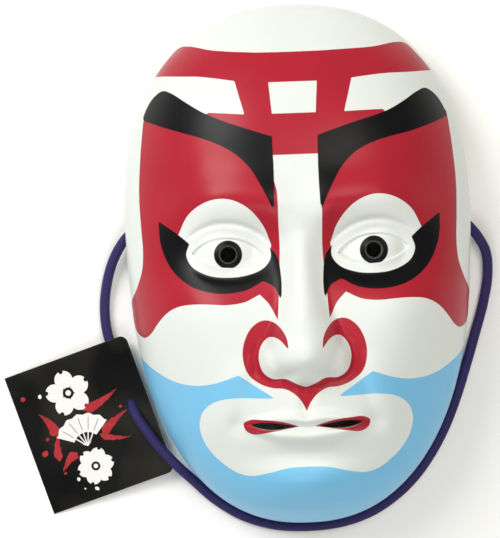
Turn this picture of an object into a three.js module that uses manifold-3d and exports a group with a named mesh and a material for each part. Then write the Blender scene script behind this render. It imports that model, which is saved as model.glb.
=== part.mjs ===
// A painted stage-face mask lying face up on its flat rim, with its wearing cord and a swing tag on the
// cord. Millimetres. +Z is up, out of the face. +Y points to the crown and +X to the viewer's right.
// The origin is on the floor under the middle of the mask.
import * as THREE from 'three';
import { mergeVertices } from 'three/addons/utils/BufferGeometryUtils.js';
import Module from 'manifold-3d';

const wasm = await Module();
wasm.setup();

// Driving sizes of the shell
const HALF_WIDTH = 81;
const HALF_HEIGHT = 122.5;
const WALL = 2;
const SKIRT_HEIGHT = 9;
const DOME_HEIGHT = 60;
const EGG_TAPER = 0.08;
const SIDE_FULLNESS = 2.3;
const END_FULLNESS = 2.5;
const DOME_FULLNESS = 2.3;

// Places of the features: eyes half way up the head, five eye widths across, nose and mouth by thirds
const EYE_X = 33;
const EYE_Y = 5;
const BROW_Y = 24;
const NOSE_BASE_Y = -52;
const NOSE_TIP_Y = -38;
const MOUTH_Y = -73;
const CHIN_Y = -101;
const EYEBALL_RADIUS = 17;
const EYEBALL_TOP = 61.5;
const NOSE_TIP_HEIGHT = 87.5;

// Openings through the shell
const PUPIL_RADIUS = 3.4;
const SLIT_INNER_X = 5;
const SLIT_OUTER_X = 25;
const SLIT_HEIGHT = 3.4;
const CORD_SLOT_Y = 15.4;
const CORD_SLOT_Z = 7;
const CORD_SLOT_RADIUS = 2.9;
const CORD_SLOT_LENGTH = 9.4;
const CORD_SLOT_DEPTH = 20;

// Cord, knots and tag
const CORD_DIAMETER = 4.8;
const CORD_STEPS = 80;
const CORD_SIDES = 8;
const KNOT_RADIUS = 5.8;
const GAP = 0.3;
const TAG_WIDTH = 62;
const TAG_HEIGHT = 69;
const TAG_THICKNESS = 0.6;
const TAG_CORNER_RADIUS = 3.5;
const TAG_CENTRE_X = -102.3;
const TAG_CENTRE_Y = -73.2;
const TAG_TURN_DEG = 18.2;
const TAG_RAISED_EDGE = 6.2;
const TAG_FLOOR_GAP = 0.05;
const TAG_HOLE_FROM_EDGE = 8.6;
const TAG_HOLE_RADIUS = 5.8;

// Net of the shell: spokes and rings from a pole on the nose, with the rings closer at eyes and mouth
const SPOKES = 56;
const DOME_RINGS = 32;
const RING_CROWDING = 0.5;
const CROWDED_RING = 0.42;
const POLE_Y = -20;
const NORMAL_STEP = 0.4;
const INSIDE_RELIEF = 0.6;
const CUT_DEPTH = 200;

const PAINTED_WHITE = { color: 0xf0f3eb, roughness: 0.32, metalness: 0 };
const CORD_VIOLET = { color: 0x3a3263, roughness: 0.8, metalness: 0 };
const TAG_BLACK = { color: 0x151414, roughness: 0.45, metalness: 0 };

function ease(from, to, value) {
  const t = Math.min(Math.max((value - from) / (to - from), 0), 1);
  return t * t * (3 - 2 * t);
}

function hill(x, y, centreX, centreY, spreadX, spreadY) {
  return Math.exp(-0.5 * (((x - centreX) / spreadX) ** 2 + ((y - centreY) / spreadY) ** 2));
}

function hillPair(x, y, centreX, centreY, spreadX, spreadY) {
  return hill(x, y, centreX, centreY, spreadX, spreadY) + hill(x, y, -centreX, centreY, spreadX, spreadY);
}

function softMax(a, b, blend) {
  const t = Math.min(Math.max(0.5 + (0.5 * (a - b)) / blend, 0), 1);
  return b + (a - b) * t + blend * t * (1 - t);
}

// 0 in the middle of the face and 1 on its egg-shaped outline
function outlineLevel(x, y) {
  const v = y / HALF_HEIGHT;
  const u = Math.abs(x) / (HALF_WIDTH * (1 + EGG_TAPER * v));
  return u ** SIDE_FULLNESS + Math.abs(v) ** END_FULLNESS;
}

// Half the width of the outline at a height on the face
function outlineHalfWidth(y) {
  const v = y / HALF_HEIGHT;
  return HALF_WIDTH * (1 + EGG_TAPER * v) * (1 - Math.abs(v) ** END_FULLNESS) ** (1 / SIDE_FULLNESS);
}

function domeHeight(x, y) {
  const level = Math.min(outlineLevel(x, y), 1);
  return SKIRT_HEIGHT + DOME_HEIGHT * (1 - level) ** (1 / DOME_FULLNESS);
}

// Brow ridge, temples, sockets, cheeks, muzzle and chin, as heights over the dome
function broadForms(x, y) {
  const s = Math.abs(x);
  const browLine = BROW_Y + 5 * (1 - ((s - 32) / 32) ** 2);
  const browFade = (1 - ease(36, 68, s)) * (0.45 + 0.55 * ease(0, 15, s));
  const brow = 4.6 * Math.exp(-0.5 * ((y - browLine) / 8) ** 2) * browFade;
  const forehead = 1.4 * hillPair(x, y, 26, 64, 20, 20) - 3.4 * hillPair(x, y, 68, 30, 12, 28);
  const socket = -7 * hillPair(x, y, EYE_X - 1, EYE_Y + 1, 16, 12.5);
  const innerCorner = -4.4 * hillPair(x, y, 15, EYE_Y + 3, 7, 9);
  const cheekbone = 3.4 * hillPair(x, y, 48, -20, 16, 12);
  const cheek = 3 * hillPair(x, y, 38, -46, 14, 19) - 2 * hillPair(x, y, 58, -58, 13, 18);
  const muzzle = 5 * hill(x, y, 0, MOUTH_Y + 2, 25, 16);
  const chin = 7.5 * hill(x, y, 0, CHIN_Y, 17, 10.5) - 3.6 * hill(x, y, 0, CHIN_Y + 13.5, 17, 4.6);
  return brow + forehead + socket + innerCorner + cheekbone + cheek + muzzle + chin;
}

// Height of the nose alone: a rounded roof, the ball of the tip and the two wings
function noseHeight(x, y) {
  const s = Math.abs(x);
  const down = ease(16, -40, y);
  const run = Math.max((14 - y) / 52, 0);
  const under = Math.max(NOSE_TIP_Y - 1.5 - y, 0);
  const crest = 67.6 + 18.4 * run ** 1.25 - 0.085 * under ** 2.35;
  const above = 0.045 * Math.max(y - 10, 0) ** 2;
  const round = 4.2 + 3.2 * down;
  const roof = crest - above - (1.15 + 0.35 * down) * (Math.hypot(s, round) - round);
  const tip = NOSE_TIP_HEIGHT - (s * s + 0.95 * (y - NOSE_TIP_Y) ** 2) / 16;
  const wing = 75.5 - ((s - 12.5) ** 2 + 0.75 * (y - NOSE_BASE_Y - 9.5) ** 2) / 8.8;
  return softMax(softMax(roof, tip, 4.5), wing, 2.4);
}

// Folds from the nose wings to the mouth corners, then both lips with the hollow that they meet in.
// The relief is 1 on the outside and less inside, where a moulded sheet is softer.
function mouthForms(x, y, relief) {
  const s = Math.abs(x);
  const run = Math.min(Math.max((-42 - y) / 34, 0), 1);
  const foldX = 20 + 12.5 * run ** 0.8;
  const foldFade = ease(-38, -52, y) * ease(-86, -68, y);
  const groove = -0.7 * foldFade * Math.exp(-(((s - foldX) / 3.6) ** 2));
  const swell = 1.3 * foldFade * Math.exp(-(((s - foldX - 7.5) / 7) ** 2));
  const seam = MOUTH_Y - 0.8 * Math.exp(-((s / 6) ** 2)) + ease(10, 28, s);
  const ends = 1 - ease(19, 31, s);
  const upperDepth = 7.4 * (1 - 0.55 * ease(5, 29, s)) - Math.exp(-((s / 3) ** 2));
  const lowerDepth = 9 * (1 - 0.6 * ease(8, 29, s));
  const upper = 2.7 * Math.exp(-(((Math.max(y - seam, 0) / upperDepth - 0.45) / 0.42) ** 2));
  const lower = 3.4 * Math.exp(-(((Math.max(seam - y, 0) / lowerDepth - 0.46) / 0.42) ** 2));
  const hollow = -1.2 * Math.exp(-(((y - seam) / 2.4) ** 2)) * (1 - ease(23, 31, s));
  return relief * (groove + swell + ends * (y > seam ? upper : lower)) + hollow;
}

// Ball of the eye under a lid, bulging out of the socket
function eyeHeight(x, y) {
  const distance = Math.hypot(Math.abs(x) - EYE_X, y - EYE_Y);
  const equator = EYEBALL_TOP - EYEBALL_RADIUS;
  if (distance > EYEBALL_RADIUS) {
    return equator - 2 * (distance - EYEBALL_RADIUS);
  }
  return equator + Math.sqrt(EYEBALL_RADIUS ** 2 - distance ** 2);
}

// Outer surface of the dome. The features fade out towards the plain side wall.
function faceHeight(x, y, relief) {
  const base = domeHeight(x, y);
  const nosed = softMax(noseHeight(x, y), base + broadForms(x, y), 3.2);
  const sculpted = softMax(nosed + mouthForms(x, y, relief), eyeHeight(x, y) + 0.8, 2.4);
  const keep = 1 - ease(0.82, 1, outlineLevel(x, y));
  return base + (sculpted - base) * keep;
}

// Distance from the pole to the outline along a spoke, by halving
function outlineDistance(cos, sin) {
  let inside = 0;
  let outside = 2 * HALF_HEIGHT;
  for (let i = 0; i < 40; i++) {
    const middle = (inside + outside) / 2;
    if (outlineLevel(middle * cos, POLE_Y + middle * sin) < 1) {
      inside = middle;
    } else {
      outside = middle;
    }
  }
  return inside;
}

function surfaceNormal(x, y, relief) {
  const h = NORMAL_STEP;
  const slopeX = (faceHeight(x + h, y, relief) - faceHeight(x - h, y, relief)) / (2 * h);
  const slopeY = (faceHeight(x, y + h, relief) - faceHeight(x, y - h, relief)) / (2 * h);
  return new THREE.Vector3(-slopeX, -slopeY, 1).normalize();
}

// Outward direction of the outline, for the side wall
function wallNormal(x, y) {
  const slopeX = outlineLevel(x + NORMAL_STEP, y) - outlineLevel(x - NORMAL_STEP, y);
  const slopeY = outlineLevel(x, y + NORMAL_STEP) - outlineLevel(x, y - NORMAL_STEP);
  return new THREE.Vector3(slopeX, slopeY, 0).normalize();
}

// Part of the way from pole to side wall that a ring has gone, as an angle over the dome
function ringAngle(ring) {
  const w = Math.min(ring / DOME_RINGS, 1);
  const turn = 2 * Math.PI;
  const shift = Math.sin(turn * (w - CROWDED_RING)) + Math.sin(turn * CROWDED_RING);
  return (Math.PI / 2) * (w - (RING_CROWDING / turn) * shift);
}

// A point of the shell: ring 0 is the pole, the last dome ring tops the side wall, and the next is the rim
function shellPoint(spoke, ring, depth) {
  const relief = depth > 0 ? INSIDE_RELIEF : 1;
  const angle = -((spoke % SPOKES) / SPOKES) * 2 * Math.PI;
  const reach = Math.sin(ringAngle(ring));
  const distance = reach * outlineDistance(Math.cos(angle), Math.sin(angle));
  const x = ring === 0 ? 0 : distance * Math.cos(angle);
  const y = ring === 0 ? POLE_Y : POLE_Y + distance * Math.sin(angle);
  const onWall = ring >= DOME_RINGS;
  const z = ring > DOME_RINGS ? 0 : onWall ? SKIRT_HEIGHT : faceHeight(x, y, relief);
  const normal = onWall ? wallNormal(x, y) : surfaceNormal(x, y, relief);
  return new THREE.Vector3(x, y, z).addScaledVector(normal, -depth);
}

// A lathed bowl gives the closed net of spokes and rings. Each of its points moves to its place on the face.
function shellBlank() {
  const rings = DOME_RINGS + 2;
  const profile = [];
  for (let j = 0; j < rings; j++) {
    profile.push(new THREE.Vector2(j, rings - j));
  }
  for (let j = rings - 1; j >= 0; j--) {
    profile.push(new THREE.Vector2(j, rings - j - 1));
  }
  const geometry = new THREE.LatheGeometry(profile, SPOKES);
  const position = geometry.attributes.position;
  for (let k = 0; k < position.count; k++) {
    const spoke = Math.floor(k / profile.length);
    const step = k % profile.length;
    const outer = step < rings;
    const point = shellPoint(spoke, outer ? step : profile.length - 1 - step, outer ? 0 : WALL);
    position.setXYZ(k, point.x, point.y, point.z);
  }
  return geometry;
}

// A closed body from a geometry: equal points are joined, and triangles that closed up at a pole are dropped
function solidOf(geometry) {
  const bare = geometry.clone();
  bare.deleteAttribute('normal');
  bare.deleteAttribute('uv');
  const merged = mergeVertices(bare, 1e-4);
  const index = merged.index.array;
  const triangles = [];
  for (let i = 0; i < index.length; i += 3) {
    const [a, b, c] = [index[i], index[i + 1], index[i + 2]];
    if (a !== b && b !== c && c !== a) {
      triangles.push(a, b, c);
    }
  }
  const vertProperties = new Float32Array(merged.attributes.position.array);
  const triVerts = new Uint32Array(triangles);
  return new wasm.Manifold(new wasm.Mesh({ numProp: 3, vertProperties, triVerts }));
}

function geometryOf(solid) {
  const mesh = solid.getMesh();
  const geometry = new THREE.BufferGeometry();
  geometry.setAttribute('position', new THREE.BufferAttribute(new Float32Array(mesh.vertProperties), 3));
  geometry.setIndex(new THREE.BufferAttribute(new Uint32Array(mesh.triVerts), 1));
  geometry.computeVertexNormals();
  return geometry;
}

function pupilCutter(side) {
  const cutter = new THREE.CylinderGeometry(PUPIL_RADIUS, PUPIL_RADIUS, CUT_DEPTH, 16);
  cutter.rotateX(Math.PI / 2);
  cutter.translate(side * EYE_X, EYE_Y, 0);
  return cutter;
}

// A slim lens-shaped slit on the line between the lips
function slitCutter(side) {
  const outline = new THREE.Shape();
  const middle = (SLIT_INNER_X + SLIT_OUTER_X) / 2;
  outline.moveTo(SLIT_INNER_X, MOUTH_Y);
  outline.quadraticCurveTo(middle, MOUTH_Y + SLIT_HEIGHT, SLIT_OUTER_X, MOUTH_Y + 0.8);
  outline.quadraticCurveTo(middle, MOUTH_Y - SLIT_HEIGHT, SLIT_INNER_X, MOUTH_Y);
  const straight = { depth: CUT_DEPTH, bevelEnabled: false, curveSegments: 6 };
  const cutter = new THREE.ExtrudeGeometry(outline, straight);
  if (side < 0) {
    cutter.rotateY(Math.PI);
    cutter.translate(0, 0, CUT_DEPTH);
  }
  return cutter;
}

// A round-ended slot through the side wall, long enough for the cord to pass slantwise
function cordSlotCutter(side) {
  const end = CORD_SLOT_LENGTH / 2 - CORD_SLOT_RADIUS;
  const outline = new THREE.Shape();
  outline.absarc(end, 0, CORD_SLOT_RADIUS, -Math.PI / 2, Math.PI / 2, false);
  outline.absarc(-end, 0, CORD_SLOT_RADIUS, Math.PI / 2, (3 * Math.PI) / 2, false);
  const straight = { depth: CORD_SLOT_DEPTH, bevelEnabled: false, curveSegments: 6 };
  const cutter = new THREE.ExtrudeGeometry(outline, straight);
  cutter.rotateX(Math.PI / 2);
  cutter.rotateZ(Math.PI / 2);
  cutter.translate(side * outlineHalfWidth(CORD_SLOT_Y) - CORD_SLOT_DEPTH / 2, CORD_SLOT_Y, CORD_SLOT_Z);
  return cutter;
}

function maskShell() {
  let shell = solidOf(shellBlank());
  for (const side of [-1, 1]) {
    for (const cutter of [pupilCutter(side), slitCutter(side), cordSlotCutter(side)]) {
      shell = shell.subtract(solidOf(cutter));
    }
  }
  return geometryOf(shell);
}

// The cord leaves the left slot, lies along the floor, runs under the tag and up through its hole, lies over
// the tag's lower corner, hugs the rim round the chin and goes back in at the right slot.
const FLOOR_LINE = CORD_DIAMETER / 2 + 0.12;
const CORD_ROUTE = [
  [-78.1, 17.8, 7],
  [-81.6, 14.9, 7],
  [-85, 10.4, 6.5],
  [-88.6, 3.6, 5.2],
  [-91.6, -6, 3.6],
  [-93.2, -17, FLOOR_LINE],
  [-92.6, -28.5, FLOOR_LINE],
  [-89.6, -39.5, FLOOR_LINE],
  [-86.2, -50, FLOOR_LINE],
  [-84.1, -57, FLOOR_LINE],
  [-82.8, -61.5, 2.8],
  [-81.7, -64.6, 4.2],
  [-80.5, -67.7, 6.9],
  [-79, -70.7, 8.65],
  [-76.4, -74.6, 9.3],
  [-70.7, -83, 9.4],
  [-64.6, -90, 9.8],
  [-60.5, -94.4, 9.6],
  [-56.4, -98.5, 8],
  [-52.4, -102.6, 5.4],
  [-48.4, -106.8, 3.3],
  [-42.9, -111.6, FLOOR_LINE],
  [-31, -119.1, FLOOR_LINE],
  [-16.1, -124, FLOOR_LINE],
  [0, -125.4, FLOOR_LINE],
  [16.1, -124, FLOOR_LINE],
  [30.5, -119.4, FLOOR_LINE],
  [42.6, -111.9, FLOOR_LINE],
  [52.6, -102.5, FLOOR_LINE],
  [61, -91.1, FLOOR_LINE],
  [68, -78.2, FLOOR_LINE],
  [73.4, -65, FLOOR_LINE],
  [78.2, -51, FLOOR_LINE],
  [83, -36, FLOOR_LINE],
  [87.4, -21.5, FLOOR_LINE],
  [89.8, -8.5, 3.2],
  [89.2, 2.4, 5],
  [85.6, 9.7, 6.5],
  [81.6, 14.9, 7],
  [78.1, 17.8, 7],
];

function cordSection() {
  const section = new THREE.Shape();
  for (let i = 0; i < CORD_SIDES; i++) {
    const angle = ((i + 0.5) / CORD_SIDES) * 2 * Math.PI;
    const point = new THREE.Vector2(Math.cos(angle), Math.sin(angle)).multiplyScalar(CORD_DIAMETER / 2);
    if (i === 0) {
      section.moveTo(point.x, point.y);
    } else {
      section.lineTo(point.x, point.y);
    }
  }
  section.closePath();
  return section;
}

function cordTube() {
  const points = CORD_ROUTE.map((point) => new THREE.Vector3(...point));
  const extrudePath = new THREE.CatmullRomCurve3(points, false, 'centripetal');
  return new THREE.ExtrudeGeometry(cordSection(), { steps: CORD_STEPS, extrudePath, bevelEnabled: false });
}

// A knot inside the shell stops each end of the cord. It is a ball in line with that end.
function knotPlace(end, next) {
  const tip = new THREE.Vector3(...end);
  const inward = tip.clone().sub(new THREE.Vector3(...next)).normalize();
  return tip.addScaledVector(inward, GAP + KNOT_RADIUS);
}

// Card with square corners on its far edge and round ones on the edge by its punched hole
function tagCard() {
  const card = new THREE.Shape();
  const [w, h, r] = [TAG_WIDTH / 2, TAG_HEIGHT / 2, TAG_CORNER_RADIUS];
  card.moveTo(-w, -h);
  card.lineTo(w - r, -h);
  card.absarc(w - r, -h + r, r, -Math.PI / 2, 0, false);
  card.lineTo(w, h - r);
  card.absarc(w - r, h - r, r, 0, Math.PI / 2, false);
  card.lineTo(-w, h);
  card.closePath();
  const hole = new THREE.Path();
  hole.absarc(w - TAG_HOLE_FROM_EDGE, 0, TAG_HOLE_RADIUS, 0, 2 * Math.PI, true);
  card.holes.push(hole);
  return new THREE.ExtrudeGeometry(card, { depth: TAG_THICKNESS, bevelEnabled: false, curveSegments: 8 });
}

function named(name, geometry, look) {
  const mesh = new THREE.Mesh(geometry, new THREE.MeshStandardMaterial(look));
  mesh.name = name;
  return mesh;
}

const mask = new THREE.Group();
mask.add(named('mask_shell', maskShell(), PAINTED_WHITE));
mask.add(named('cord', cordTube(), CORD_VIOLET));

const knotEnds = [
  ['knot_left', CORD_ROUTE[0], CORD_ROUTE[1]],
  ['knot_right', CORD_ROUTE.at(-1), CORD_ROUTE.at(-2)],
];
for (const [name, end, next] of knotEnds) {
  const knot = named(name, new THREE.SphereGeometry(KNOT_RADIUS, 12, 8), CORD_VIOLET);
  knot.position.copy(knotPlace(end, next));
  mask.add(knot);
}

// The tag's far edge is on the floor, and the edge with the hole leans on the cord below it
const tagPlace = new THREE.Group();
tagPlace.position.set(TAG_CENTRE_X, TAG_CENTRE_Y, TAG_RAISED_EDGE / 2 + TAG_FLOOR_GAP);
tagPlace.rotation.z = THREE.MathUtils.degToRad(TAG_TURN_DEG);
const tag = named('swing_tag', tagCard(), TAG_BLACK);
tag.rotation.y = -Math.asin(TAG_RAISED_EDGE / TAG_WIDTH);
tagPlace.add(tag);
mask.add(tagPlace);

export default mask;
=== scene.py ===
# A painted stage mask that lies face up: its moulded shell, the wearing cord with its knots, and the swing
# tag on the cord. Metres, +Z up out of the face, +Y to the crown, and the origin under the mask's middle.
import math

import bpy
import numpy as np
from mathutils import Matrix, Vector


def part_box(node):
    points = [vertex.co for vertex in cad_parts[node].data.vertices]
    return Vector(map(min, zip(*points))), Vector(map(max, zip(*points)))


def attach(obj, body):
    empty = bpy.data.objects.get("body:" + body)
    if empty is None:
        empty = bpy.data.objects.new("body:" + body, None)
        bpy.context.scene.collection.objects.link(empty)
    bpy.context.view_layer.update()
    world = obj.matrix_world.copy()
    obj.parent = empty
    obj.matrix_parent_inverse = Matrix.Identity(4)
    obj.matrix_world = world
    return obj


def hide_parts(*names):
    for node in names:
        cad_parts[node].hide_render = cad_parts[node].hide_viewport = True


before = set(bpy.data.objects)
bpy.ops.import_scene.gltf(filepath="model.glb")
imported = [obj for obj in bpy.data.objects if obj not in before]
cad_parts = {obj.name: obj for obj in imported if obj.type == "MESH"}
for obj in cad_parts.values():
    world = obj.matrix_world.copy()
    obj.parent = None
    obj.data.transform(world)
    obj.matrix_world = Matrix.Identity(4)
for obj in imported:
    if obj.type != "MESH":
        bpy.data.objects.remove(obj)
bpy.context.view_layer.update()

# The shell's form. One sheet of thin white plastic is pressed over a mould: an egg-shaped dome on a straight
# skirt, out of which the brow, eyes, nose, lips and chin stand. Its heights are worked out in millimetres.
MM = 0.001
HALF_WIDTH = 81.0
HALF_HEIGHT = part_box("mask_shell")[1].y / MM
WALL = 2.0
SKIRT_HEIGHT = 9.0
DOME_HEIGHT = 60.0
EGG_TAPER = 0.08
EYE_X = 33.0
EYE_Y = 5.0
EYE_HALF_WIDTH = 16.5
EYEBALL_RADIUS = 17.0
EYEBALL_TOP = 61.5
PUPIL_RADIUS = 3.4
NOSE_TIP_Y = -38.0
NOSE_BASE_Y = -52.0
NOSE_TIP_HEIGHT = 87.5
MOUTH_Y = -73.0
CHIN_Y = -101.0


def ease(start, end, value):
    t = np.clip((value - start) / (end - start), 0, 1)
    return t * t * (3 - 2 * t)


def hill(x, y, centre_x, centre_y, spread_x, spread_y):
    return np.exp(-0.5 * (((x - centre_x) / spread_x) ** 2 + ((y - centre_y) / spread_y) ** 2))


def line_hill(distance, spread):
    return np.exp(-((distance / spread) ** 2))


def hill_pair(x, y, centre_x, centre_y, spread_x, spread_y):
    left = hill(x, y, -centre_x, centre_y, spread_x, spread_y)
    return left + hill(x, y, centre_x, centre_y, spread_x, spread_y)


def soft_max(a, b, blend):
    t = np.clip(0.5 + 0.5 * (a - b) / blend, 0, 1)
    return b + (a - b) * t + blend * t * (1 - t)


def outline_level(x, y):
    """0 in the middle of the face and 1 on its egg-shaped outline."""
    v = y / HALF_HEIGHT
    return (np.abs(x) / (HALF_WIDTH * (1 + EGG_TAPER * v))) ** 2.3 + np.abs(v) ** 2.5


def dome_height(x, y):
    return SKIRT_HEIGHT + DOME_HEIGHT * np.clip(1 - outline_level(x, y), 0, 1) ** (1 / 2.3)


def broad_forms(x, y):
    """Brow ridge, temples, sockets, cheeks, muzzle and chin, over the dome."""
    s = np.abs(x)
    brow_line = 24 + 5 * (1 - ((s - 32) / 32) ** 2)
    brow_fade = (1 - ease(36, 68, s)) * (0.45 + 0.55 * ease(0, 15, s))
    brow = 4.6 * np.exp(-0.5 * ((y - brow_line) / 8) ** 2) * brow_fade
    forehead = 1.4 * hill_pair(x, y, 26, 64, 20, 20) - 3.4 * hill_pair(x, y, 68, 30, 12, 28)
    socket = -7 * hill_pair(x, y, EYE_X - 1, EYE_Y + 1, 16, 12.5)
    socket = socket - 4.4 * hill_pair(x, y, 15, EYE_Y + 3, 7, 9)
    cheek = 3.4 * hill_pair(x, y, 48, -20, 16, 12) + 3 * hill_pair(x, y, 38, -46, 14, 19)
    jaw = 5 * hill(x, y, 0, MOUTH_Y + 2, 25, 16) - 2 * hill_pair(x, y, 58, -58, 13, 18)
    chin = 7.5 * hill(x, y, 0, CHIN_Y, 17, 10.5) - 3.6 * hill(x, y, 0, CHIN_Y + 13.5, 17, 4.6)
    return brow + forehead + socket + cheek + jaw + chin


def nose_height(x, y):
    """A rounded roof, the ball of the tip and the two wings."""
    s = np.abs(x)
    down = ease(16, -40, y)
    run = np.maximum((14 - y) / 52, 0)
    under = np.maximum(NOSE_TIP_Y - 1.5 - y, 0)
    crest = 67.6 + 18.4 * run**1.25 - 0.085 * under**2.35 - 0.045 * np.maximum(y - 10, 0) ** 2
    round_top = 4.2 + 3.2 * down
    roof = crest - (1.15 + 0.35 * down) * (np.hypot(s, round_top) - round_top)
    tip = NOSE_TIP_HEIGHT - (s * s + 0.95 * (y - NOSE_TIP_Y) ** 2) / 16
    wing = 75.5 - ((s - 12.5) ** 2 + 0.75 * (y - NOSE_BASE_Y - 9.5) ** 2) / 8.8
    return soft_max(soft_max(roof, tip, 4.5), wing, 2.4)


def nose_creases(x, y):
    """The crease behind each wing, the two nostrils and the channel down to the upper lip."""
    s = np.abs(x)
    behind_wing = np.hypot(s - 11.5, (y + 42.5) * 0.95) - 11.5
    wing_crease = -0.9 * line_hill(behind_wing, 1.7) * ease(8, 15, s) * ease(-56, -50, y) * ease(-32, -38, y)
    nostril = -2.6 * hill(s, y, 6.8, -49.8, 2.7, 2.0)
    channel = ease(-53, -58, y) * ease(-69, -64, y) * (0.4 * line_hill(s - 5, 2.4) - 0.8 * line_hill(s, 2.6))
    return wing_crease + nostril + channel


def mouth_forms(x, y, relief):
    """Folds from the nose to the mouth's corners, and two full lips with the hollow in which they meet."""
    s = np.abs(x)
    run = np.clip((-42 - y) / 34, 0, 1)
    fold_x = 20 + 12.5 * run**0.8
    fold_fade = ease(-38, -52, y) * ease(-86, -68, y)
    folds = fold_fade * (1.3 * line_hill(s - fold_x - 7.5, 7) - 0.7 * line_hill(s - fold_x, 3.6))
    seam = MOUTH_Y - 0.8 * line_hill(s, 6) + ease(10, 28, s)
    ends = 1 - ease(19, 31, s)
    upper_depth = 7.4 * (1 - 0.55 * ease(5, 29, s)) - line_hill(s, 3)
    lower_depth = 9 * (1 - 0.6 * ease(8, 29, s))
    upper = 2.7 * line_hill(np.maximum(y - seam, 0) / upper_depth - 0.45, 0.42)
    lower = 3.4 * line_hill(np.maximum(seam - y, 0) / lower_depth - 0.46, 0.42)
    hollow = -1.2 * line_hill(y - seam, 2.4) * (1 - ease(23, 31, s))
    corners = -1.1 * hill_pair(x, y, 31, MOUTH_Y + 0.5, 3.6, 3.2)
    return relief * (folds + corners + ends * np.where(y > seam, upper, lower)) + hollow


def eyeball_height(x, y):
    distance = np.hypot(np.abs(x) - EYE_X, y - EYE_Y)
    equator = EYEBALL_TOP - EYEBALL_RADIUS
    ball = np.sqrt(np.maximum(EYEBALL_RADIUS**2 - distance**2, 0))
    return equator + ball - 2 * np.maximum(distance - EYEBALL_RADIUS, 0)


def inside_lids(x, y):
    """Roughly how far a point lies inside the almond between the lids."""
    u = (np.abs(x) - EYE_X) / EYE_HALF_WIDTH
    arch = np.clip(1 - np.abs(u) ** 2.2, 0, 1)
    upper_lid = EYE_Y + 0.9 * u + 7.6 * arch**0.85
    lower_lid = EYE_Y + 0.9 * u - 6 * arch
    return np.minimum(upper_lid - y, y - lower_lid) - np.maximum(np.abs(u) - 1, 0) * EYE_HALF_WIDTH


def over_lid_fold(x, y):
    """Height over the line of the fold above the upper lid."""
    u = (np.abs(x) - EYE_X) / 20.5
    return y - (EYE_Y + 14 - 9.5 * np.abs(u) ** 2.2 + 1.2 * u)


def lid_creases(x, y):
    """The fold over the upper lid and the softer one under the eye."""
    from_middle = np.abs(np.abs(x) - EYE_X)
    w = (np.abs(x) - EYE_X) / 18.5
    below = y - (EYE_Y - 11.5 + 6 * np.abs(w) ** 2.2 + 0.8 * w)
    fold = -1.3 * line_hill(over_lid_fold(x, y), 1.5) * (1 - ease(13, 22, from_middle))
    return fold - 0.5 * line_hill(below, 1.8) * (1 - ease(11, 19.4, from_middle))


def face_height(x, y, relief):
    """The pressed surface. Relief is 1 in front, and less behind, where the sheet's thickness softens it."""
    base = dome_height(x, y)
    nosed = soft_max(nose_height(x, y), base + broad_forms(x, y), 3.2) + relief * nose_creases(x, y)
    lids = soft_max(nosed + mouth_forms(x, y, relief), eyeball_height(x, y) + 1.5, 2.4)
    lids = lids + relief * lid_creases(x, y)
    opened = relief * ease(-0.3, 0.9, inside_lids(x, y))
    sunk = soft_max(eyeball_height(x, y) + 0.1, lids - 1.7, 1)
    sculpted = lids * (1 - opened) + sunk * opened
    from_pupil = np.hypot(np.abs(x) - EYE_X, y - EYE_Y)
    sculpted = sculpted + relief * 0.3 * line_hill(from_pupil - PUPIL_RADIUS - 0.7, 0.42)
    return base + (sculpted - base) * (1 - ease(0.82, 1, outline_level(x, y)))


# The pressed sheet. A fan of fine faces is laid out flat, divided again where the features are small, and
# pressed up to the heights above. The back is a coarser and softer sheet one wall further in. The two are
# joined round a flat rim, whose edges are rounded.
SPOKES = 256
RINGS = 130
SKIRT_STEPS = 4
BACK_RINGS = 44
BACK_SKIRT_STEPS = 2
BACK_RELIEF = 0.6
BACK_EDGE_LIFT = 0.03
FAN_CENTRE_Y = -20.0
CROWDING = 0.4
CROWDED_RING = 0.42
NORMAL_STEP = 0.4
SAME_POINT = 0.002
RIM_ROUNDING = 0.45


def points_of(piece):
    points = np.empty(3 * len(piece.data.vertices))
    piece.data.vertices.foreach_get("co", points)
    return points.reshape(-1, 3)


def press(piece, points):
    piece.data.vertices.foreach_set("co", np.asarray(points).ravel())
    piece.data.update()


def choose(*pieces):
    """Selects these pieces alone and makes the first one active."""
    bpy.ops.object.select_all(action="DESELECT")
    for piece in pieces:
        piece.select_set(True)
    bpy.context.view_layer.objects.active = pieces[0]


def edit(piece, mode="FACE"):
    """Opens a piece for editing, with nothing in it selected."""
    choose(piece)
    bpy.ops.object.mode_set(mode="EDIT")
    bpy.ops.mesh.select_mode(type=mode)
    bpy.ops.mesh.select_all(action="DESELECT")


def choose_faces(piece, chosen):
    """Selects the faces whose centre, in millimetres, the test says yes to."""
    centres = np.empty(3 * len(piece.data.polygons))
    piece.data.polygons.foreach_get("center", centres)
    x, y, z = centres.reshape(-1, 3).T / MM
    edit(piece)
    bpy.ops.object.mode_set(mode="OBJECT")
    piece.data.polygons.foreach_set("select", chosen(x, y, z))
    bpy.ops.object.mode_set(mode="EDIT")


def divide(piece, chosen):
    choose_faces(piece, chosen)
    bpy.ops.mesh.subdivide(number_cuts=1)
    bpy.ops.object.mode_set(mode="OBJECT")


def merge_seams(piece):
    edit(piece, "VERT")
    bpy.ops.mesh.select_all(action="SELECT")
    bpy.ops.mesh.remove_doubles(threshold=SAME_POINT * MM)
    bpy.ops.object.mode_set(mode="OBJECT")


def outline_distance(turn):
    """From the fan's centre to the outline in a direction, by halving."""
    inner, outer = np.zeros_like(turn), np.full_like(turn, 2 * HALF_HEIGHT)
    for _ in range(40):
        middle = (inner + outer) / 2
        inside = outline_level(middle * np.cos(turn), FAN_CENTRE_Y + middle * np.sin(turn)) < 1
        inner, outer = np.where(inside, middle, inner), np.where(inside, outer, middle)
    return inner


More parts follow.
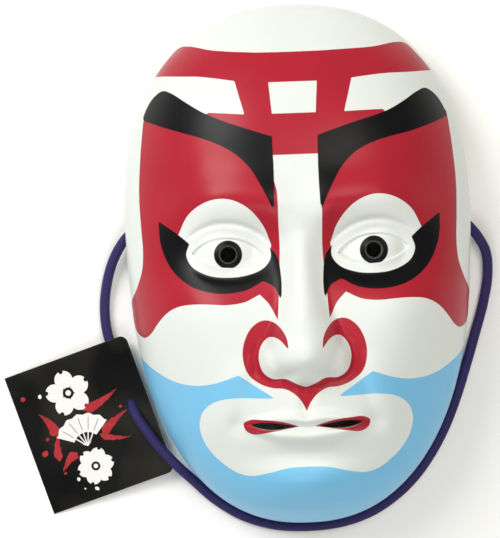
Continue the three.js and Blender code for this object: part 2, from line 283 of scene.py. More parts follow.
def flat_fan(name, spokes, rings):
    """A flat sheet rolled into a fan. Its rings crowd together at eyes and mouth, and at the outline."""
    bpy.ops.object.select_all(action="DESELECT")
    bpy.ops.mesh.primitive_grid_add(x_subdivisions=spokes, y_subdivisions=rings, size=1)
    fan = bpy.context.object
    fan.name = fan.data.name = name
    turn, ring = -2 * math.pi * (points_of(fan)[:, 0] + 0.5), points_of(fan)[:, 1] + 0.5
    wave = np.sin(2 * math.pi * (ring - CROWDED_RING)) + math.sin(2 * math.pi * CROWDED_RING)
    reach = np.sin(math.pi / 2 * (ring - CROWDING / (2 * math.pi) * wave)) * outline_distance(turn)
    x, y = reach * np.cos(turn), FAN_CENTRE_Y + reach * np.sin(turn)
    press(fan, np.stack([x, y, 0 * x], axis=1) * MM)
    merge_seams(fan)
    return fan


def pressed_up(fan, relief, depth):
    """Presses a fan to the face's heights, or to a surface that lies a depth behind them."""
    x, y = points_of(fan)[:, 0] / MM, points_of(fan)[:, 1] / MM
    h = NORMAL_STEP
    edge = outline_level(x, y) > 0.9999
    slope_x = (face_height(x + h, y, relief) - face_height(x - h, y, relief)) / (2 * h)
    slope_y = (face_height(x, y + h, relief) - face_height(x, y - h, relief)) / (2 * h)
    out_x = outline_level(x + h, y) - outline_level(x - h, y)
    out_y = outline_level(x, y + h) - outline_level(x, y - h)
    sideways = np.where(edge, out_x, -slope_x), np.where(edge, out_y, -slope_y)
    normal = np.stack([*sideways, np.where(edge, 0, 1)], axis=1)
    normal /= np.linalg.norm(normal, axis=1, keepdims=True)
    top = np.stack([x, y, np.where(edge, SKIRT_HEIGHT, face_height(x, y, relief))], axis=1)
    press(fan, (top - depth * normal) * MM)


def skirted(fan, steps, lowest):
    """Draws the open edge straight down, to the rim plane or a hair above it."""
    drop = (SKIRT_HEIGHT - lowest) / steps * MM
    edit(fan, "EDGE")
    bpy.ops.mesh.select_non_manifold()
    for _ in range(steps):
        bpy.ops.mesh.extrude_region_move(TRANSFORM_OT_translate={"value": (0, 0, -drop)})
    bpy.ops.object.mode_set(mode="OBJECT")


def near_features(x, y, z):
    s = np.abs(x)
    eye = ((s - EYE_X) / 22) ** 2 + ((y - EYE_Y - 1) / 17) ** 2 < 1
    nose = (s < 25) & (y > -58) & (y < -28)
    mouth = (s < 36) & (y > -86) & (y < -62)
    return eye | nose | mouth


def near_edges(x, y, z):
    s = np.abs(x)
    lids = np.abs(inside_lids(x, y)) < 1.1
    fold = (np.abs(over_lid_fold(x, y)) < 1.8) & (np.abs(s - EYE_X) < 20)
    collar = np.hypot(s - EYE_X, y - EYE_Y) < PUPIL_RADIUS + 4
    slit = (s < 29) & (s > 2) & (np.abs(y - MOUTH_Y) < 3.4)
    return lids | fold | collar | slit


def near_forehead_window(x, y, z):
    s = np.abs(x)
    return (s > 6) & (s < 31) & (y > 46) & (y < 87)


def near_band_ends(x, y, z):
    s = np.abs(x + 0.6)
    return (s > 51) & (s < 74) & (y > 62) & (y < 105) & (outline_level(x, y) < 0.995)


def near_window_corners(x, y, z):
    corners = ((11, 82.4), (10, 67.8), (26.6, 83.7), (22.6, 68), (10.3, 57), (10.2, 49.4))
    return np.minimum.reduce([np.hypot(np.abs(x + 1.1) - a, y - b) for a, b in corners]) < 2.4


def near_pupil_rims(x, y, z):
    return np.abs(np.hypot(np.abs(x) - EYE_X, y - EYE_Y) - PUPIL_RADIUS - 0.6) < 1.2


def near_rim_plane(x, y, z):
    return z < 0.05


shell = flat_fan("mask_shell_pressed", SPOKES, RINGS)
divide(shell, near_features)
divide(shell, near_edges)
divide(shell, near_forehead_window)
divide(shell, near_window_corners)
divide(shell, near_band_ends)
divide(shell, near_pupil_rims)
pressed_up(shell, 1, 0)
skirted(shell, SKIRT_STEPS, 0)

back = flat_fan("back", SPOKES, BACK_RINGS)
pressed_up(back, BACK_RELIEF, WALL)
skirted(back, BACK_SKIRT_STEPS, BACK_EDGE_LIFT)

choose(shell, back)
bpy.ops.object.join()
edit(shell, "EDGE")
bpy.ops.mesh.select_non_manifold()
bpy.ops.mesh.bridge_edge_loops()
bpy.ops.mesh.select_all(action="SELECT")
bpy.ops.mesh.normals_make_consistent(inside=False)
bpy.ops.object.mode_set(mode="OBJECT")

choose_faces(shell, near_rim_plane)
bpy.ops.mesh.region_to_loop()
bpy.ops.mesh.bevel(offset=RIM_ROUNDING * MM, segments=3, affect="EDGES")
bpy.ops.object.mode_set(mode="OBJECT")

# The holes. Two round pupils and two lens-shaped slits between the lips are punched straight down through
# the pressed sheet. The cord has a round-ended slot through the side wall at each temple.
SLIT_INNER_X = 5.0
SLIT_OUTER_X = 25.0
SLIT_HALF_HEIGHT = 1.6
CORD_SLOT_Y = 15.4
CORD_SLOT_Z = 7.0
CORD_SLOT_RADIUS = 2.75
CORD_SLOT_LENGTH = 9.2
DRILL_LENGTH = 20.0
PUNCH_LENGTH = 0.2
PUNCH_SIDES = 72


def punch(radius, length, place, turn=(0, 0, 0)):
    bpy.ops.object.select_all(action="DESELECT")
    bpy.ops.mesh.primitive_cylinder_add(
        vertices=PUNCH_SIDES, radius=radius, depth=length, location=place, rotation=turn)
    bpy.ops.object.transform_apply()
    return bpy.context.object


def slit_punch(side):
    """A round punch pressed into a lens that opens towards the mouth's corner."""
    tool = punch(1, PUNCH_LENGTH, (0, 0, 0))
    x, y, z = points_of(tool).T
    along = (SLIT_INNER_X + SLIT_OUTER_X) / 2 + x * (SLIT_OUTER_X - SLIT_INNER_X) / 2
    opening = SLIT_HALF_HEIGHT * (1 + 0.35 * x) * np.sign(y) * np.abs(y) ** 1.5
    middle = MOUTH_Y - 0.3 + ease(10, 28, along)
    press(tool, np.stack([side * along * MM, (middle + opening) * MM, z], axis=1))
    if side < 0:
        edit(tool)
        bpy.ops.mesh.select_all(action="SELECT")
        bpy.ops.mesh.flip_normals()
        bpy.ops.object.mode_set(mode="OBJECT")
    return tool


def drawn_out(tool, length, radius):
    """Moves the halves of a round punch apart along Y, for a hole with round ends."""
    points = points_of(tool)
    points[:, 1] += np.sign(points[:, 1]) * (length / 2 - radius) * MM
    press(tool, points)


def half_width_at(y):
    v = y / HALF_HEIGHT
    return HALF_WIDTH * (1 + EGG_TAPER * v) * (1 - abs(v) ** 2.5) ** (1 / 2.3)


punches = []
for side in (-1, 1):
    punches.append(punch(PUPIL_RADIUS * MM, PUNCH_LENGTH, (side * EYE_X * MM, EYE_Y * MM, 0)))
    punches.append(slit_punch(side))
    drill = punch(CORD_SLOT_RADIUS * MM, DRILL_LENGTH * MM, (0, 0, 0), (0, math.pi / 2, 0))
    drawn_out(drill, CORD_SLOT_LENGTH, CORD_SLOT_RADIUS)
    slot_middle = np.array([side * half_width_at(CORD_SLOT_Y), CORD_SLOT_Y, CORD_SLOT_Z])
    press(drill, points_of(drill) + slot_middle * MM)
    punches.append(drill)
choose(*punches)
bpy.ops.object.join()

holes = shell.modifiers.new("holes", "BOOLEAN")
holes.operation, holes.solver, holes.object = "DIFFERENCE", "EXACT", punches[0]
bpy.context.view_layer.objects.active = shell
bpy.ops.object.modifier_apply(modifier="holes")
bpy.data.objects.remove(punches[0])

# The make-up is sprayed and brushed on in flat layers: a sky blue jaw, crimson eye fields, forehead figure,
# nose curls and lip lines, white lids, and black brows, eye lines and irises. The outlines are half faces in
# millimetres. Forehead and brows were laid on a little to the left, and on the right a little lower.
FOREHEAD = [(-20, 96.6, 1), (0, 96.6), (18, 97), (37, 99.3), (48, 102.6), (53, 102.8), (59, 97),
            (65, 89.7, 1), (54, 88), (43, 86.8), (34, 85.2), (26.6, 83.7, 1), (22.6, 68, 1), (32, 68.9),
            (42, 69.9, 1), (40, 60, 1), (20, 54), (10.4, 52, 1), (10.2, 49, 1), (-20, 49, 1)]
FOREHEAD_WINDOW = [(-20, 82.4, 1), (11, 82.4, 1), (9.9, 67.8, 1), (-20, 67.8, 1)]
EYE_FIELD = [(9.8, 18, 1), (10.8, 36), (17, 47), (25, 54), (36, 60), (47, 65), (60, 71), (70.4, 69.3, 1),
             (72.2, 53), (73.4, 35), (73, 20), (72.4, 8), (73.2, -1), (76.6, -10), (79.6, -15.5),
             (80.2, -20), (78.8, -26), (76.2, -30.4), (73, -32), (69.8, -30), (66, -25), (61.4, -20.4),
             (56, -17.8), (49.5, -17), (42, -17.2), (34, -17.7), (26, -16.6), (19.4, -13.4, 1),
             (15.2, -18), (11.6, -25.4, 1), (10.8, -14), (10, -2), (9.6, 8)]
WHITE_LID = [(13.4, 9, 1), (17, 18), (24, 26), (33, 30), (42, 29), (50.5, 23.5), (56, 13.5, 1), (54, 2),
             (45, -6.5), (33, -9), (22, -7.5), (14.6, 0)]
EYE_LINE = [(14.2, 8, 1), (13.6, 3.5), (17, -1.5), (24.5, -4.6), (33, -5.4), (42, -4.2), (49.5, 0),
            (52, 5.5), (50.5, 10.5, 1), (55, 14.5), (64.5, 21.5, 1), (63.6, 10), (58.5, -1.5), (49, -9.5),
            (36, -12.6), (25, -11.2), (17.6, -7.4, 1), (12.6, -10.4), (9.6, -17, 1), (9.4, -7), (10.8, 3)]
BROW = [(10.2, 57.4, 1), (18.6, 60.3), (27, 63.3), (34, 66.1), (42, 70), (50, 75.4), (56, 79.8),
        (60.6, 81.8), (65.4, 79), (68.9, 74), (70.9, 69, 1), (62.6, 65.2), (52.5, 61.4), (42.5, 58),
        (34, 54.2), (27, 49.8), (21, 43.6), (16.6, 36.2), (13.2, 29.4), (10.5, 23, 1), (10, 38)]
NOSE_CURL = [(7.5, -38, 1), (8.2, -33), (10.8, -28.4), (14.4, -25.6), (18.8, -25.2), (23.6, -28.2),
             (27, -34.4), (27.9, -42), (25.8, -49), (20.8, -53.4), (15, -55.6), (9.6, -56.2), (5, -58.8),
             (2, -62.4), (0, -66.5, 1), (-6, -66.5, 1), (-6, -55.2, 1), (0, -55.4), (4, -54), (9, -51.6),
             (14.8, -51.4), (19, -48.4), (20.8, -42), (19.4, -36.2), (15.8, -32.6), (11.8, -33.4)]
JAW = [(95, -31, 1), (80, -35.5), (75.6, -41.5), (68, -47.8), (59, -52.4), (49.5, -54), (42, -53.2),
       (36, -51.5), (30.2, -49.4, 1), (22.4, -54.8), (14, -60.4, 1), (24, -60), (34, -59.9), (42, -61.8),
       (47.2, -66.4), (48.8, -72.6), (47.2, -79.6), (43.2, -86), (38.2, -90.8), (32.6, -94.6),
       (26, -96.2), (18.5, -94.9), (9, -92.6), (0, -92.1), (-20, -92.1, 1), (-20, -140, 1), (95, -140, 1)]
LIP_LINE = [(3.4, -73.3, 1), (11, -71), (19, -69.9), (25.5, -69.8), (28.6, -71.6), (27.6, -74.8),
            (24, -76.6), (18.5, -75.8), (11, -74.6)]
OUTLINE_STEPS = 6
IRIS_RADIUS = 6.4
CRIMSON_LOWEST = 4.5


def smooth_line(points, steps):
    """A centripetal curve through points, with the same number of steps from each to the next."""
    points = np.array(points, float)
    knots = np.append(0, np.cumsum(np.sqrt(np.linalg.norm(np.diff(points, axis=0), axis=1))))
    slopes = np.gradient(points, knots, axis=0)
    span = np.diff(knots)[:, None, None]
    t = (np.arange(steps) / steps)[None, :, None]
    start, end = points[:-1, None], points[1:, None]
    leave, arrive = slopes[:-1, None] * span, slopes[1:, None] * span
    curve = (2 * t**3 - 3 * t**2 + 1) * start + (t**3 - 2 * t**2 + t) * leave
    curve = curve + (3 * t**2 - 2 * t**3) * end + (t**3 - t**2) * arrive
    return np.vstack([curve.reshape(-1, points.shape[1]), points[-1:]])


def drawn(outline):
    """A closed outline that is smooth between its corners, the points with a third value."""
    corners = [i for i, point in enumerate(outline) if len(point) == 3]
    ring = outline[corners[0]:] + outline[: corners[0] + 1]
    corners = [i for i, point in enumerate(ring) if len(point) == 3]
    runs = [[point[:2] for point in ring[a : b + 1]] for a, b in zip(corners, corners[1:])]
    return np.vstack([smooth_line(run, OUTLINE_STEPS if len(run) > 2 else 1)[:-1] for run in runs])


def depth_inside(outline, s, y):
    """Distance to an outline in millimetres, positive inside it."""
    nearest, inside = np.full_like(s, np.inf), np.zeros(s.shape, bool)
    corners = drawn(outline)
    for (ax, ay), (bx, by) in zip(corners, np.roll(corners, -1, axis=0)):
        along_x, along_y = bx - ax, by - ay
        t = np.clip(((s - ax) * along_x + (y - ay) * along_y) / (along_x**2 + along_y**2), 0, 1)
        nearest = np.minimum(nearest, (s - ax - t * along_x) ** 2 + (y - ay - t * along_y) ** 2)
        if ay != by:
            inside ^= ((ay > y) != (by > y)) & (s < along_x * (y - ay) / along_y + ax)
    return np.where(inside, 1, -1) * np.sqrt(nearest)


def lay_on(piece, name, depths):
    """Keeps a paint layer's depths as an attribute of the piece."""
    layer = piece.data.attributes.new(name, "FLOAT", "POINT")
    layer.data.foreach_set("value", depths.astype(np.float32))


shell_x, shell_y, shell_z = points_of(shell).T / MM
facing = np.empty(3 * len(shell.data.vertices))
shell.data.vertices.foreach_get("normal", facing)
half_x = np.abs(shell_x)
from_pupil = np.hypot(half_x - EYE_X, shell_y - EYE_Y)
upper_x = np.abs(shell_x + 1.2 * line_hill(shell_x, 45))
band_y = shell_y + 1.6 * ease(15, 55, shell_x)
brow_y = shell_y + 2.8 * ease(20, 55, shell_x)
window = depth_inside(FOREHEAD_WINDOW, upper_x, band_y)
forehead = np.minimum(depth_inside(FOREHEAD, upper_x, band_y), -window)
reds = [depth_inside(outline, half_x, shell_y) for outline in (EYE_FIELD, NOSE_CURL, LIP_LINE)]
crimson = np.maximum.reduce([forehead, *reds])
black = np.maximum(depth_inside(BROW, upper_x, brow_y), depth_inside(EYE_LINE, half_x, shell_y))

# Depths inside an outline are stretched where the face is steep, so that edges stay as sharp there. Crimson
# ends a little above the rim.
steepness = 1 / np.clip(np.abs(facing[2::3]), 0.12, 1)
lay_on(shell, "blue_paint", depth_inside(JAW, half_x, shell_y) * steepness)
lay_on(shell, "crimson_paint", -soft_max(-crimson, CRIMSON_LOWEST - shell_z, 4) * steepness)
lay_on(shell, "white_lids", depth_inside(WHITE_LID, half_x, shell_y) * steepness)
iris = np.minimum(IRIS_RADIUS - from_pupil, inside_lids(shell_x, shell_y))
lay_on(shell, "black_paint", np.maximum(black, iris) * steepness)
lay_on(shell, "pupil_distance", from_pupil)


# Paint and plastic. The colours are satin, a little uneven in gloss, and stand a hair's breadth proud of the
# white ground at their edges. The back and the cut edges show the bare moulded sheet.
class Signal:
    """A socket in a material's node tree. Sums on values add Math nodes, and node() adds any other."""

    def __init__(self, socket):
        self.socket = socket

    def node(self, kind, settings, values, out=0):
        return node_in(self.socket.id_data, kind, settings, values, out)

    def sum(self, operation, *values):
        return self.node("ShaderNodeMath", {"operation": operation}, dict(enumerate([self, *values])))

    def __add__(self, other):
        return self.sum("ADD", other)

    def __sub__(self, other):
        return self.sum("SUBTRACT", other)

    def __rsub__(self, other):
        return self.node("ShaderNodeMath", {"operation": "SUBTRACT"}, {0: other, 1: self})

    def __mul__(self, other):
        return self.sum("MULTIPLY", other)

    def __truediv__(self, other):
        return self.sum("DIVIDE", other)

    __radd__ = __add__
    __rmul__ = __mul__

    def clamped(self):
        return self.sum("MAXIMUM", 0).sum("MINIMUM", 1)


def node_in(tree, kind, settings=None, values=None, out=0):
    """Adds a node, sets it up, fills its sockets with values or links and gives one output as a Signal."""
    node = tree.nodes.new(kind)
    for name, setting in (settings or {}).items():
        setattr(node, name, setting)
    for name, value in (values or {}).items():
        if isinstance(value, Signal):
            tree.links.new(value.socket, node.inputs[name])
        else:
            node.inputs[name].default_value = value
    return Signal(node.outputs[out])


def new_finish(name, **constants):
    """A material with one Principled shader, whose plain values are set on its own sockets."""
    finish = bpy.data.materials.new(name)
    finish.use_nodes = True
    shader = next(n for n in finish.node_tree.nodes if n.type == "BSDF_PRINCIPLED")
    for socket, value in constants.items():
        shader.inputs[socket.replace("_", " ")].default_value = value
    return finish, finish.node_tree, shader


def feed(shader, **signals):
    for socket, signal in signals.items():
        shader.id_data.links.new(signal.socket, shader.inputs[socket.replace("_", " ")])


def linear(red, green, blue):
    """A colour as it is read off a screen, from 0 to 255, as the shader's own values."""
    parts = [part / 255 for part in (red, green, blue)]
    return *(c / 12.92 if c <= 0.04045 else ((c + 0.055) / 1.055) ** 2.4 for c in parts), 1


def noise(tree, size, detail=2.0):
    """Smooth noise from 0 to 1 whose blobs have a size in metres."""
    place = node_in(tree, "ShaderNodeTexCoord", out="Object")
    values = {"Vector": place, "Scale": 1 / size, "Detail": detail}
    return node_in(tree, "ShaderNodeTexNoise", {}, values, "Fac")


def surface(tree, name):
    """An attribute of the piece, as a value."""
    return node_in(tree, "ShaderNodeAttribute", {"attribute_name": name}, out="Fac")


def bumped(tree, height):
    """A normal that follows a height in metres."""
    values = {"Height": height, "Strength": 1.0, "Distance": 1.0}
    return node_in(tree, "ShaderNodeBump", {}, values, "Normal")


def mixed(factor, under, over):
    values = {"Factor": factor, 6: under, 7: over}
    return factor.node("ShaderNodeMix", {"data_type": "RGBA", "clamp_factor": True}, values, 2)


WHITE = linear(227, 232, 227)
BLUE = linear(122, 193, 231)
CRIMSON = linear(168, 33, 48)
BLACK = linear(6, 6, 7)
EDGE_SOFTNESS = 0.3
EDGE_WANDER = 0.2
PAINT_THICKNESS = 0.00004
PEEL_HEIGHT = 0.000012
GRAIN_HEIGHT = 0.00003
PAINTED_WITHIN = 0.25

painted, tree, shader = new_finish("painted_plastic", Specular_IOR_Level=0.2)
wander = (noise(tree, 0.007) - 0.5) * EDGE_WANDER


def layer(name):
    """How much of a paint layer lies at a point, from 0 to 1."""
    return ((surface(tree, name) + wander) / EDGE_SOFTNESS + 0.5).clamped()


blue_layer, crimson_layer, black_layer = layer("blue_paint"), layer("crimson_paint"), layer("black_paint")
lid_layer = layer("white_lids")
cloud = noise(tree, 0.03, 3)
# A thin lighter grey ring on the black iris, over each pupil's raised collar, is a painted highlight.
from_collar = (surface(tree, "pupil_distance") - PUPIL_RADIUS - 0.55).sum("ABSOLUTE")
painted_collar_highlight = (1 - from_collar / 0.35).clamped() * 0.22
ground = mixed(cloud, WHITE, linear(223, 229, 223))
with_blue = mixed(blue_layer, ground, mixed(cloud, BLUE, linear(126, 195, 232)))
with_crimson = mixed(crimson_layer, with_blue, mixed(cloud, CRIMSON, linear(176, 36, 52)))
with_lids = mixed(lid_layer, with_crimson, WHITE)
with_black = mixed(black_layer, with_lids, mixed(painted_collar_highlight, BLACK, linear(150, 152, 156)))
uneven = noise(tree, 0.012, 4)
peel = noise(tree, 0.0014, 1) * PEEL_HEIGHT
raised = ((blue_layer + crimson_layer * (1 - lid_layer)) * (1 - black_layer) + black_layer) * PAINT_THICKNESS
feed(shader, Base_Color=with_black, Roughness=uneven * 0.1 + 0.27 + black_layer * 0.05,
     Normal=bumped(tree, peel + raised))

bare, tree, shader = new_finish("bare_plastic", Specular_IOR_Level=0.5)
grain = noise(tree, 0.0006, 3)
feed(shader, Base_Color=mixed(noise(tree, 0.02, 4), linear(232, 231, 224), linear(222, 220, 211)),
     Roughness=grain * 0.15 + 0.42, Normal=bumped(tree, grain * GRAIN_HEIGHT))

# Faces within a hair of the pressed surface are painted, and everything behind it is bare.
shell.data.materials.clear()
shell.data.materials.append(painted)
shell.data.materials.append(bare)
height = np.where(outline_level(shell_x, shell_y) > 0.999, shell_z, face_height(shell_x, shell_y, 1))
front = shell_z > height - PAINTED_WITHIN
corner_fronts = np.empty(len(shell.data.loops), int)
shell.data.loops.foreach_get("vertex_index", corner_fronts)
starts, totals = np.empty(len(shell.data.polygons), int), np.empty(len(shell.data.polygons), int)
shell.data.polygons.foreach_get("loop_start", starts)
shell.data.polygons.foreach_get("loop_total", totals)
all_front = np.add.reduceat(front[corner_fronts].astype(int), starts) == totals
shell.data.polygons.foreach_set("material_index", np.where(all_front, 0, 1))
choose(shell)
bpy.ops.object.shade_smooth_by_angle(angle=math.radians(40))
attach(shell, "root")
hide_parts("mask_shell")

# The cord is one length of soft round elastic in a finely braided violet sheath. It slants out at the left
# temple, lies on the table close round the chin, comes up through the tag's hole on the way, and ends behind
# the right temple.
CORD_DIAMETER = 4.8
FLOOR_LINE = CORD_DIAMETER / 2 + 0.12
CORD_ROUTE = [
    (-78.1, 17.8, 7), (-81.6, 14.9, 7), (-85, 10.4, 6.5), (-88.6, 3.6, 5.2), (-91.6, -6, 3.6),
    (-93.2, -17, FLOOR_LINE), (-92.6, -28.5, FLOOR_LINE), (-89.6, -39.5, FLOOR_LINE),
    (-86.2, -50, FLOOR_LINE), (-84.1, -57, FLOOR_LINE), (-82.8, -61.5, 2.8), (-81.7, -64.6, 4.2),
    (-80.5, -67.7, 6.9), (-79, -70.7, 8.65), (-76.4, -74.6, 9.3), (-70.7, -83, 9.4), (-64.6, -90, 9.8),
    (-60.5, -94.4, 9.6), (-56.4, -98.5, 8), (-52.4, -102.6, 5.4), (-48.4, -106.8, 3.3),
    (-42.9, -111.6, FLOOR_LINE), (-31, -119.1, FLOOR_LINE), (-16.1, -124, FLOOR_LINE),
    (0, -125.4, FLOOR_LINE), (16.1, -124, FLOOR_LINE), (30.5, -119.4, FLOOR_LINE),
    (42.6, -111.9, FLOOR_LINE), (52.6, -102.5, FLOOR_LINE), (61, -91.1, FLOOR_LINE),
    (68, -78.2, FLOOR_LINE), (73.4, -65, FLOOR_LINE), (78.2, -51, FLOOR_LINE), (83, -36, FLOOR_LINE),
    (87.4, -21.5, FLOOR_LINE), (89.8, -8.5, 3.2), (89.2, 2.4, 5), (85.6, 9.7, 6.5), (81.6, 14.9, 7),
    (78.1, 17.8, 7),
]
CARRIERS = 12
BRAID_PITCH = 13.0
BRAID_RELIEF = 0.12
THREAD_HEIGHT = 0.00003
THREADS = 5
CORD_CURVE_STEPS = 12
CORD_STEP = 0.34
CORD_SIDES = 48
THINNED_OVER = 4.0


def length_of(line):
    return float(np.linalg.norm(np.diff(line, axis=0), axis=1).sum())


def evenly_spaced(line, step):
    run = np.append(0, np.cumsum(np.linalg.norm(np.diff(line, axis=0), axis=1)))
    places = np.linspace(0, run[-1], round(run[-1] / step) + 1)
    return np.stack([np.interp(places, run, line[:, axis]) for axis in range(3)], axis=1), places


def braided_tube(name, line, radii, sides, step, rounded_end=0):
    """A flat strip rolled round a line in millimetres, with its braid's strands as relief. Its two radii are
    those at the start and a few millimetres on, where a knot has pulled the cord thinner."""
    line, run = evenly_spaced(line, step)
    radius = np.interp(run, (0, THINNED_OVER), radii)
    ahead = np.gradient(line, axis=0)
    ahead /= np.linalg.norm(ahead, axis=1, keepdims=True)
    across = np.zeros_like(ahead)
    side = np.cross(ahead[0], (0, 0, 1))
    for i, direction in enumerate(ahead):
        side = side - direction * side.dot(direction)
        across[i] = side = side / np.linalg.norm(side)
    up = np.cross(ahead, across)
    bpy.ops.object.select_all(action="DESELECT")
    bpy.ops.mesh.primitive_grid_add(x_subdivisions=len(line) - 1, y_subdivisions=sides, size=1)
    tube = bpy.context.object
    tube.name = tube.data.name = name
    strip = points_of(tube)
    ring = np.rint((strip[:, 0] + 0.5) * (len(line) - 1)).astype(int)
    turn = strip[:, 1] + 0.5
    one_way = CARRIERS * turn + run[ring] * CARRIERS / BRAID_PITCH
    other_way = CARRIERS * turn - run[ring] * CARRIERS / BRAID_PITCH
    over = (np.floor(one_way) + np.floor(other_way)) % 2
    strand = np.abs(np.sin(np.pi * np.where(over > 0, one_way, other_way)))
    thickness = radius[ring] - BRAID_RELIEF * (1 - strand**0.7)
    if rounded_end:
        to_tip = np.clip((run[-1] - run[ring]) / rounded_end, 0, 1)
        thickness = thickness * np.sqrt(np.clip(1 - (1 - to_tip) ** 2, 0.01, 1))
    angle = 2 * np.pi * turn[:, None]
    outward = np.cos(angle) * across[ring] + np.sin(angle) * up[ring]
    press(tube, (line[ring] + thickness[:, None] * outward) * MM)
    tube.data.uv_layers[0].name = "along_cord"
    merge_seams(tube)
    edit(tube, "EDGE")
    bpy.ops.mesh.select_non_manifold()
    bpy.ops.mesh.fill_holes(sides=0)
    bpy.ops.mesh.select_all(action="SELECT")
    bpy.ops.mesh.normals_make_consistent(inside=False)
    bpy.ops.object.mode_set(mode="OBJECT")
    bpy.ops.object.shade_smooth_by_angle(angle=math.radians(50))
    return tube


def map_axes(tree, name):
    """Both coordinates of a piece's own map, each from 0 to 1."""
    place = node_in(tree, "ShaderNodeUVMap", {"uv_map": name}, out="UV")
    return [node_in(tree, "ShaderNodeSeparateXYZ", {}, {"Vector": place}, axis) for axis in "XY"]


def cord_finish(name, length):
    """Violet yarn: fine threads along each strand, with painted shade between the strands, and a soft sheen.
    """
    finish, tree, shader = new_finish(name, Specular_IOR_Level=0.2, Sheen_Weight=0.1, Sheen_Roughness=0.4)
    shader.inputs["Sheen Tint"].default_value = linear(110, 100, 210)
    along, around = map_axes(tree, "along_cord")
    along, around = along * (length * CARRIERS / BRAID_PITCH), around * CARRIERS
    one_way, other_way = around + along, around - along
    over = (one_way.sum("FLOOR") + other_way.sum("FLOOR")).sum("PINGPONG", 1)
    across = over * one_way + (1 - over) * other_way
    middle = (across * math.pi).sum("SINE").sum("ABSOLUTE")
    threads = (across * math.pi * THREADS).sum("SINE").sum("ABSOLUTE")
    # Painted shade: the colour darkens between the strands and between their fine threads.
    shade = (middle.sum("POWER", 0.6) * 0.8 + threads * 0.2) * (0.85 + noise(tree, 0.004, 3) * 0.3)
    colour = mixed(shade.clamped(), linear(20, 15, 46), linear(57, 48, 104))
    relief = bumped(tree, threads * THREAD_HEIGHT)
    feed(shader, Base_Color=colour, Roughness=0.62 - middle * 0.14, Normal=relief)
    return finish


cord_line = smooth_line(CORD_ROUTE, CORD_CURVE_STEPS)
cord = braided_tube("wearing_cord", cord_line, (CORD_DIAMETER / 2, CORD_DIAMETER / 2), CORD_SIDES, CORD_STEP)
cord.data.materials.append(cord_finish("violet_braid", length_of(cord_line)))
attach(cord, "root")
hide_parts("cord")

# An overhand knot pulled up tight behind each temple keeps the cord from slipping out. Its short tail is cut
# and sealed with heat, so that it ends in a small round tip.
KNOT_SPREAD = 1.36
KNOT_DEPTH = 1.7
KNOT_CORD_RADIUS = 1.7
KNOT_MIDDLE = 6.0
KNOT_SIDES = 32
KNOT_CURVE_STEPS = 8
KNOT_STEP = 0.4
TIP_LENGTH = 1.4


def knot_line(end, before, side):
    """On from the cord's end, once round in three crossing lobes, and out to the tail."""
    onward = (end - before) / np.linalg.norm(end - before)
    aside = np.cross(onward, (0, 0, 1)) * -side
    turn = np.linspace(0.36 * math.pi, 2.14 * math.pi, 60)[::4]
    across = KNOT_SPREAD * (np.sin(turn) + 2 * np.sin(2 * turn))
    up = KNOT_SPREAD * (np.cos(turn) - 2 * np.cos(2 * turn))
    inward = KNOT_MIDDLE + KNOT_DEPTH * np.sin(3 * turn)
    lead = [(0, 0, -0.2), (0.1, 0.1, 1.2), (1.4, 1, 3.2)]
    lobes = np.stack([across, up, inward], axis=1)
    tail = [lobes[-1] + (1.2, -1.2, 1.2), lobes[-1] + (1.5, -2, 3)]
    points = np.vstack([lead, lobes, tail])
    return end + points[:, :1] * aside + points[:, 1:2] * np.array([0, 0, 1]) + points[:, 2:] * onward


for name, side, end, before in (("knot_left", -1, *CORD_ROUTE[:2]), ("knot_right", 1, *CORD_ROUTE[:-3:-1])):
    line = smooth_line(knot_line(np.array(end), np.array(before), side), KNOT_CURVE_STEPS)
    radii = (CORD_DIAMETER / 2, KNOT_CORD_RADIUS)
    knot = braided_tube("tied_" + name, line, radii, KNOT_SIDES, KNOT_STEP, rounded_end=TIP_LENGTH)
    knot.data.materials.append(cord_finish("violet_" + name, length_of(line)))
    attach(knot, "root")
    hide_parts(name)

# The swing tag is a glossy card printed black, with two rounded corners by its punched slot, which the cord
# fills. That edge leans on the cord, and the far one lies on the table. The print is a column of two flowers
# and a fan, with brush strokes at its sides.
TAG_WIDTH = 62.0
TAG_HEIGHT = 69.0
TAG_THICKNESS = 0.6
TAG_CORNER_RADIUS = 3.5
TAG_CENTRE = (-102.3, -73.2)
TAG_TURN = math.radians(18.2)
TAG_RAISED_EDGE = 6.2
TAG_SLOT_FROM_EDGE = 8.6
TAG_SLOT_RADIUS = 2.75
TAG_SLOT_LENGTH = 9.4
TAG_BEVEL = 0.08
TAG_LIFT = 0.12
TAG_CELL = 0.75

bpy.ops.object.select_all(action="DESELECT")
columns, rows = round(TAG_WIDTH / TAG_CELL), round(TAG_HEIGHT / TAG_CELL)
bpy.ops.mesh.primitive_grid_add(x_subdivisions=columns, y_subdivisions=rows, size=1)
tag = bpy.context.object
tag.name = tag.data.name = "printed_tag"
tag.data.uv_layers[0].name = "printed_face"
card = points_of(tag) * (TAG_WIDTH, TAG_HEIGHT, 0)
into_x = np.clip((card[:, 0] - TAG_WIDTH / 2) / TAG_CORNER_RADIUS + 1, 0, 1)
into_y = np.clip((np.abs(card[:, 1]) - TAG_HEIGHT / 2) / TAG_CORNER_RADIUS + 1, 0, 1)
card[:, 0] -= TAG_CORNER_RADIUS * into_x * (1 - np.sqrt(1 - into_y**2 / 2))
card[:, 1] -= np.sign(card[:, 1]) * TAG_CORNER_RADIUS * into_y * (1 - np.sqrt(1 - into_x**2 / 2))
press(tag, card * MM)
sheet = tag.modifiers.new("thickness", "SOLIDIFY")
sheet.thickness, sheet.offset = TAG_THICKNESS * MM, 1
bpy.ops.object.modifier_apply(modifier="thickness")
tool = punch(TAG_SLOT_RADIUS * MM, 0.01, ((TAG_WIDTH / 2 - TAG_SLOT_FROM_EDGE) * MM, 0, 0))
drawn_out(tool, TAG_SLOT_LENGTH, TAG_SLOT_RADIUS)
hole = tag.modifiers.new("hole", "BOOLEAN")
hole.operation, hole.solver, hole.object = "DIFFERENCE", "EXACT", tool
